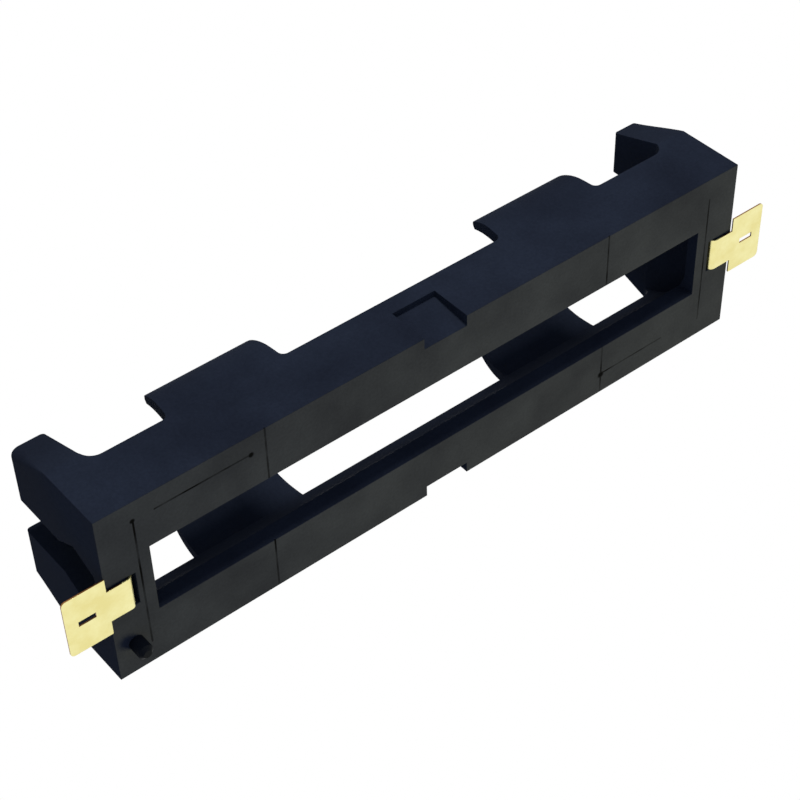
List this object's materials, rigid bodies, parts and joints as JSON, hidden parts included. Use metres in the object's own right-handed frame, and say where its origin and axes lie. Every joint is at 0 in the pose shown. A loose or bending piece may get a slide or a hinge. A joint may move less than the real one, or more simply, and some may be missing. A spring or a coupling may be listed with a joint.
{
  "type": "cylindrical cell holder",
  "caption": "Open surface mount holder for a cylindrical cell: a moulded tray with end posts, leaning side arms, a window in its base, and a bowed gold contact with a solder tab at each end",
  "frame": {"origin": "the middle of the footprint, on the board: the plane of the undersides of both solder tabs", "axes": "+X runs along the cell towards the right contact, +Y goes towards the wall over the locating peg, +Z points away from the board"},
  "size_m": [0.086, 0.0206, 0.0161],
  "materials": {
    "moulded_nylon": "matt moulded black",
    "gold_plate": "thin gold plate, satin"
  },
  "bodies": {
    "root": {"housing": "moulded_nylon", "contact_left": "gold_plate", "contact_right": "gold_plate"}
  },
  "joints": []
}
